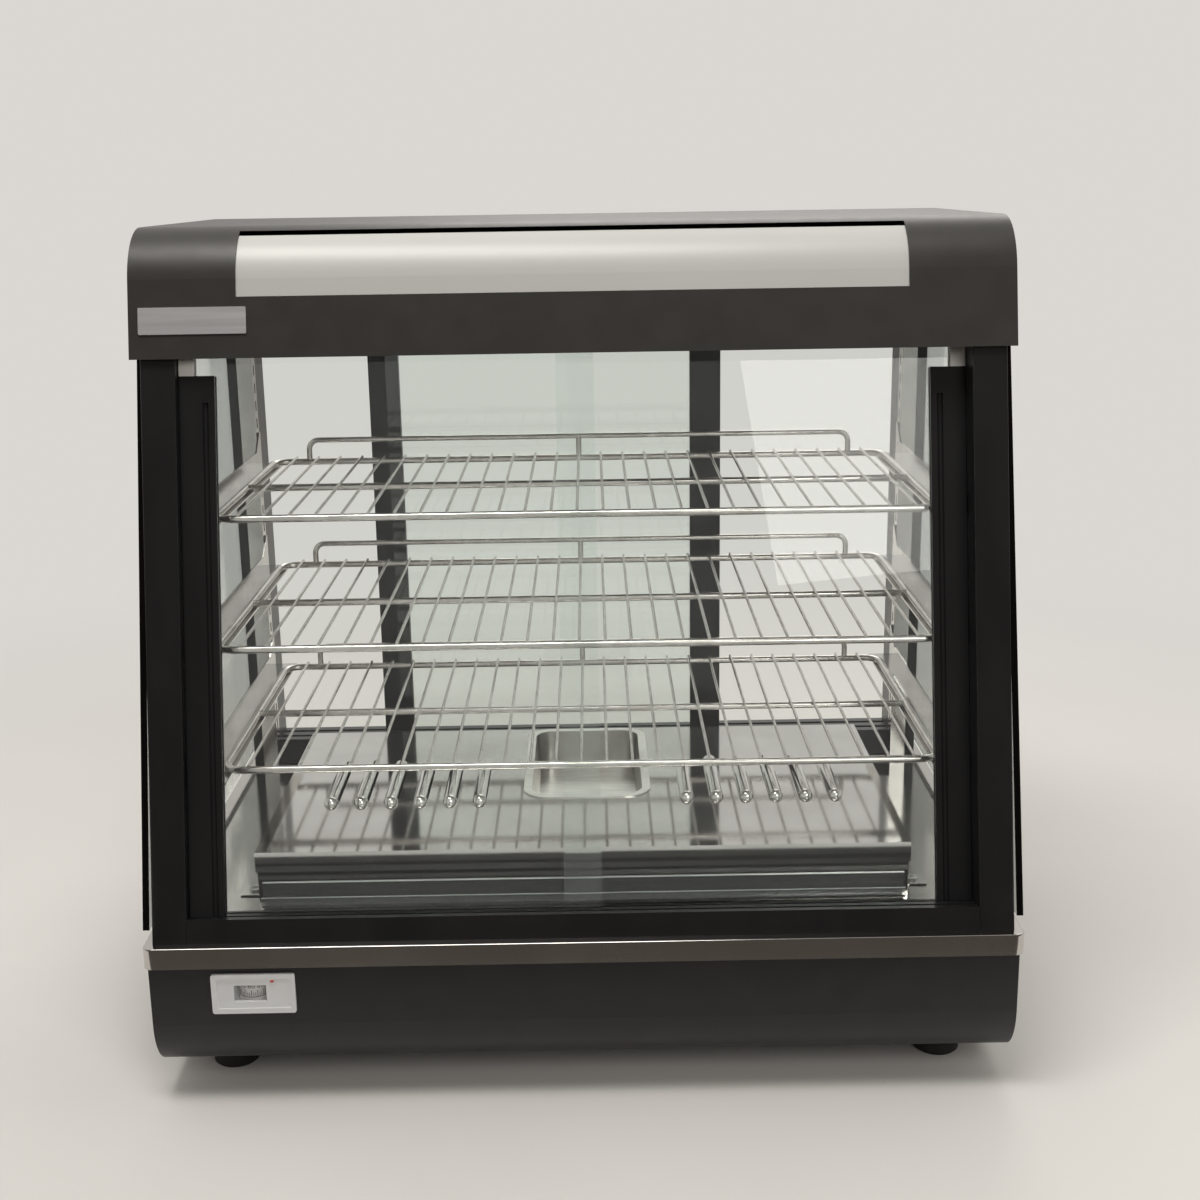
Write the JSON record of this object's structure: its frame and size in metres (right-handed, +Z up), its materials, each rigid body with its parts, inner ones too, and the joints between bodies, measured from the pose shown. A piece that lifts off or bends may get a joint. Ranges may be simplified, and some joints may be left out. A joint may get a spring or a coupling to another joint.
{
  "type": "heated display cabinet",
  "caption": "Counter-top pie warmer: slanted glass front and upright rear with sliding doors, wire shelves on hooked rails, mirror deck with water pan, lit hood.",
  "frame": {"origin": "middle of the cabinet's outline, on the surface that its feet stand on", "axes": "+X along the width, to the right as the customer sees it; +Y to the rear, away from the customer; +Z up"},
  "size_m": [0.66, 0.45, 0.652],
  "materials": {
    "black_paint": "satin",
    "hood_paint": "satin",
    "frame_black": "satin",
    "mirror_steel": "polished",
    "bright_steel": "polished",
    "wire_chrome": "polished",
    "pan_steel": "satin",
    "clear_glass": "polished",
    "clear_plastic": "polished",
    "light_acrylic": "satin",
    "white_plastic": "satin",
    "nylon": "matte",
    "black_plastic": "matte",
    "amber_lens": "gloss",
    "rubber": "matte",
    "heater_sheath": "satin",
    "zinc_steel": "satin",
    "badge_metal": "brushed",
    "lamp_glass": "satin"
  },
  "bodies": {
    "cabinet": {"base_shell": "black_paint", "bottom_plate": "zinc_steel", "feet": "rubber", "foot_screws": "zinc_steel", "control_panel": "black_paint", "thermostat_body": "black_plastic", "power_switch_body": "black_plastic", "light_switch_body": "black_plastic", "pilot_lamp": "amber_lens", "cable_gland": "black_plastic", "terminal_block": "white_plastic", "thermometer_case": "white_plastic", "thermometer_window": "clear_plastic", "trim_plate": "bright_steel", "deck_base": "mirror_steel", "deck_lid": "mirror_steel", "deck_screws": "zinc_steel", "ticket_rail": "clear_plastic", "heater_left": "heater_sheath", "heater_right": "heater_sheath", "heater_brackets": "zinc_steel", "front_post_left": "frame_black", "front_post_right": "frame_black", "front_bottom_rail": "frame_black", "front_top_rail": "frame_black", "rear_post_left": "frame_black", "rear_post_right": "frame_black", "rear_bottom_rail": "frame_black", "rear_top_rail": "frame_black", "front_pilasters": "bright_steel", "rear_pilasters": "bright_steel", "side_glass_left": "clear_glass", "side_glass_right": "clear_glass", "shelf_rails": "bright_steel", "hood_shell": "hood_paint", "hood_lining": "bright_steel", "light_panel": "light_acrylic", "lamp_tube": "lamp_glass", "lamp_holders": "white_plastic", "badge_plate": "badge_metal", "hood_screws": "zinc_steel"},
    "front_door_left": {"front_glass_left": "clear_glass", "front_handle_left": "frame_black", "front_guide_left": "nylon"},
    "front_door_right": {"front_glass_right": "clear_glass", "front_handle_right": "frame_black", "front_guide_right": "nylon"},
    "rear_door_left": {"rear_glass_left": "clear_glass", "rear_handle_left": "frame_black"},
    "rear_door_right": {"rear_glass_right": "clear_glass", "rear_handle_right": "frame_black"},
    "top_shelf_body": {"top_shelf": "wire_chrome"},
    "middle_shelf_body": {"middle_shelf": "wire_chrome"},
    "bottom_shelf_body": {"bottom_shelf": "wire_chrome"},
    "water_pan_body": {"water_pan": "pan_steel"},
    "thermostat_knob_body": {"thermostat_knob": "black_plastic"},
    "power_rocker_body": {"power_rocker": "amber_lens"},
    "light_rocker_body": {"light_rocker": "black_plastic"},
    "dial_body": {"thermometer_dial": "white_plastic"}
  },
  "joints": [
    {"name": "front_door_left_slide", "type": "slide", "parent": "cabinet", "child": "front_door_left", "axis": [1, 0, 0], "range_m": [0, 0.281]},
    {"name": "front_door_right_slide", "type": "slide", "parent": "cabinet", "child": "front_door_right", "axis": [-1, 0, 0], "range_m": [0, 0.281]},
    {"name": "rear_door_left_slide", "type": "slide", "parent": "cabinet", "child": "rear_door_left", "axis": [1, 0, 0], "range_m": [-0.1005, 0.181]},
    {"name": "rear_door_right_slide", "type": "slide", "parent": "cabinet", "child": "rear_door_right", "axis": [-1, 0, 0], "range_m": [-0.164, 0.117]},
    {"name": "top_shelf_lift", "type": "slide", "parent": "cabinet", "child": "top_shelf_body", "axis": [0, 0.2334, 0.9724], "range_m": [0, 0.04]},
    {"name": "middle_shelf_lift", "type": "slide", "parent": "cabinet", "child": "middle_shelf_body", "axis": [0, 0.2334, 0.9724], "range_m": [0, 0.04]},
    {"name": "bottom_shelf_lift", "type": "slide", "parent": "cabinet", "child": "bottom_shelf_body", "axis": [0, 0.2334, 0.9724], "range_m": [0, 0.04]},
    {"name": "water_pan_lift", "type": "slide", "parent": "cabinet", "child": "water_pan_body", "axis": [0, 0, 1], "range_m": [0, 0.045]},
    {"name": "thermostat_turn", "type": "hinge", "parent": "cabinet", "child": "thermostat_knob_body", "pos_m": [-0.12, 0.202, 0.07695], "axis": [0, -1, 0], "range_deg": [0, 270]},
    {"name": "power_rock", "type": "hinge", "parent": "cabinet", "child": "power_rocker_body", "pos_m": [-0.25, 0.203, 0.07695], "axis": [1, 0, 0], "range_deg": [-10, 10]},
    {"name": "light_rock", "type": "hinge", "parent": "cabinet", "child": "light_rocker_body", "pos_m": [-0.215, 0.203, 0.07695], "axis": [1, 0, 0], "range_deg": [-10, 10]},
    {"name": "dial_turn", "type": "hinge", "parent": "cabinet", "child": "dial_body", "pos_m": [-0.2511, -0.2071, 0.0944], "axis": [0, 0, 1], "range_deg": [-60, 100]}
  ]
}
